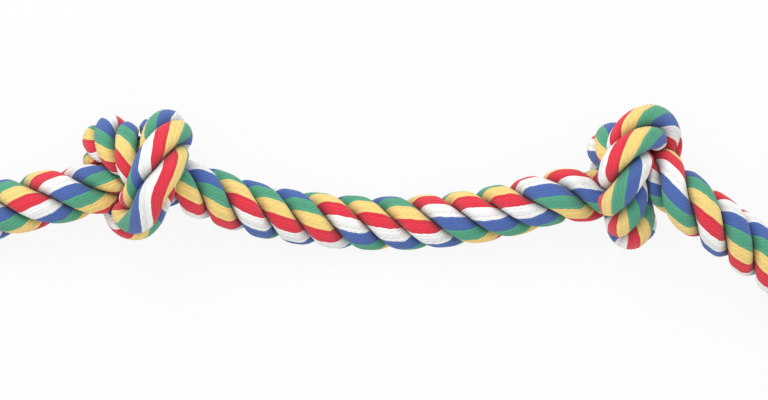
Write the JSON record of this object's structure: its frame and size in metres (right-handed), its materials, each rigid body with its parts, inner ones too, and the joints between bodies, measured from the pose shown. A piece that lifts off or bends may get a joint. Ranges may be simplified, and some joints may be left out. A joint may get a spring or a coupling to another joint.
{
  "type": "rope dog toy",
  "caption": "Rope tug toy for a dog: a laid cotton rope of coloured yarns with an overhand knot near each end and frayed ends, which bends between its knots.",
  "frame": {"origin": "on the surface that the toy lies on, under the middle of its box", "axes": "+X along the rope from the left knot to the right knot, +Y up in the picture, +Z up from the surface towards the camera"},
  "size_m": [0.4074, 0.0974, 0.0539],
  "materials": {
    "strand_a_cotton": "soft twisted cotton, red shows most",
    "strand_b_cotton": "soft twisted cotton, yellow shows most",
    "strand_c_cotton": "soft twisted cotton, blue shows most",
    "red_cotton": "loose cotton yarn",
    "yellow_cotton": "loose cotton yarn",
    "green_cotton": "loose cotton yarn",
    "blue_cotton": "loose cotton yarn",
    "white_cotton": "loose cotton yarn"
  },
  "bodies": {
    "left_half": {"left_knot_strand_a": "strand_a_cotton", "left_knot_strand_b": "strand_b_cotton", "left_knot_strand_c": "strand_c_cotton", "left_span_strand_a": "strand_a_cotton", "left_span_strand_b": "strand_b_cotton", "left_span_strand_c": "strand_c_cotton"},
    "right_half": {"right_span_strand_a": "strand_a_cotton", "right_span_strand_b": "strand_b_cotton", "right_span_strand_c": "strand_c_cotton", "right_knot_strand_a": "strand_a_cotton", "right_knot_strand_b": "strand_b_cotton", "right_knot_strand_c": "strand_c_cotton"},
    "left_tail": {"left_tail_strand_a": "strand_a_cotton", "left_tail_strand_b": "strand_b_cotton", "left_tail_strand_c": "strand_c_cotton"},
    "right_tail": {"right_tail_strand_a": "strand_a_cotton", "right_tail_strand_b": "strand_b_cotton", "right_tail_strand_c": "strand_c_cotton"},
    "left_tassel": {"left_tassel_a_red": "red_cotton", "left_tassel_a_yellow": "yellow_cotton", "left_tassel_a_green": "green_cotton", "left_tassel_a_blue": "blue_cotton", "left_tassel_a_white": "white_cotton", "left_tassel_b_red": "red_cotton", "left_tassel_b_yellow": "yellow_cotton", "left_tassel_b_green": "green_cotton", "left_tassel_b_blue": "blue_cotton", "left_tassel_b_white": "white_cotton", "left_tassel_c_red": "red_cotton", "left_tassel_c_yellow": "yellow_cotton", "left_tassel_c_green": "green_cotton", "left_tassel_c_blue": "blue_cotton", "left_tassel_c_white": "white_cotton"},
    "right_tassel": {"right_tassel_a_red": "red_cotton", "right_tassel_a_yellow": "yellow_cotton", "right_tassel_a_green": "green_cotton", "right_tassel_a_blue": "blue_cotton", "right_tassel_a_white": "white_cotton", "right_tassel_b_red": "red_cotton", "right_tassel_b_yellow": "yellow_cotton", "right_tassel_b_green": "green_cotton", "right_tassel_b_blue": "blue_cotton", "right_tassel_b_white": "white_cotton", "right_tassel_c_red": "red_cotton", "right_tassel_c_yellow": "yellow_cotton", "right_tassel_c_green": "green_cotton", "right_tassel_c_blue": "blue_cotton", "right_tassel_c_white": "white_cotton"}
  },
  "joints": [
    {"name": "middle_bend", "type": "hinge", "parent": "left_half", "child": "right_half", "pos_m": [0.00197, 0.00597, 0.008], "axis": [0, 0, 1], "range_deg": [-45, 45]},
    {"name": "left_tail_bend", "type": "hinge", "parent": "left_half", "child": "left_tail", "pos_m": [-0.1225, 0.01664, 0.01985], "axis": [0, 0, 1], "range_deg": [-30, 30]},
    {"name": "right_tail_bend", "type": "hinge", "parent": "right_half", "child": "right_tail", "pos_m": [0.11848, 0.01377, 0.04088], "axis": [0, 0, 1], "range_deg": [-30, 30]},
    {"name": "left_tassel_swing", "type": "hinge", "parent": "left_tail", "child": "left_tassel", "pos_m": [-0.15631, 0.00853, 0.01073], "axis": [0, 0, 1], "range_deg": [-25, 25]},
    {"name": "right_tassel_swing", "type": "hinge", "parent": "right_tail", "child": "right_tassel", "pos_m": [0.15742, -0.01281, 0.02041], "axis": [0, 0, 1], "range_deg": [-25, 25]}
  ]
}
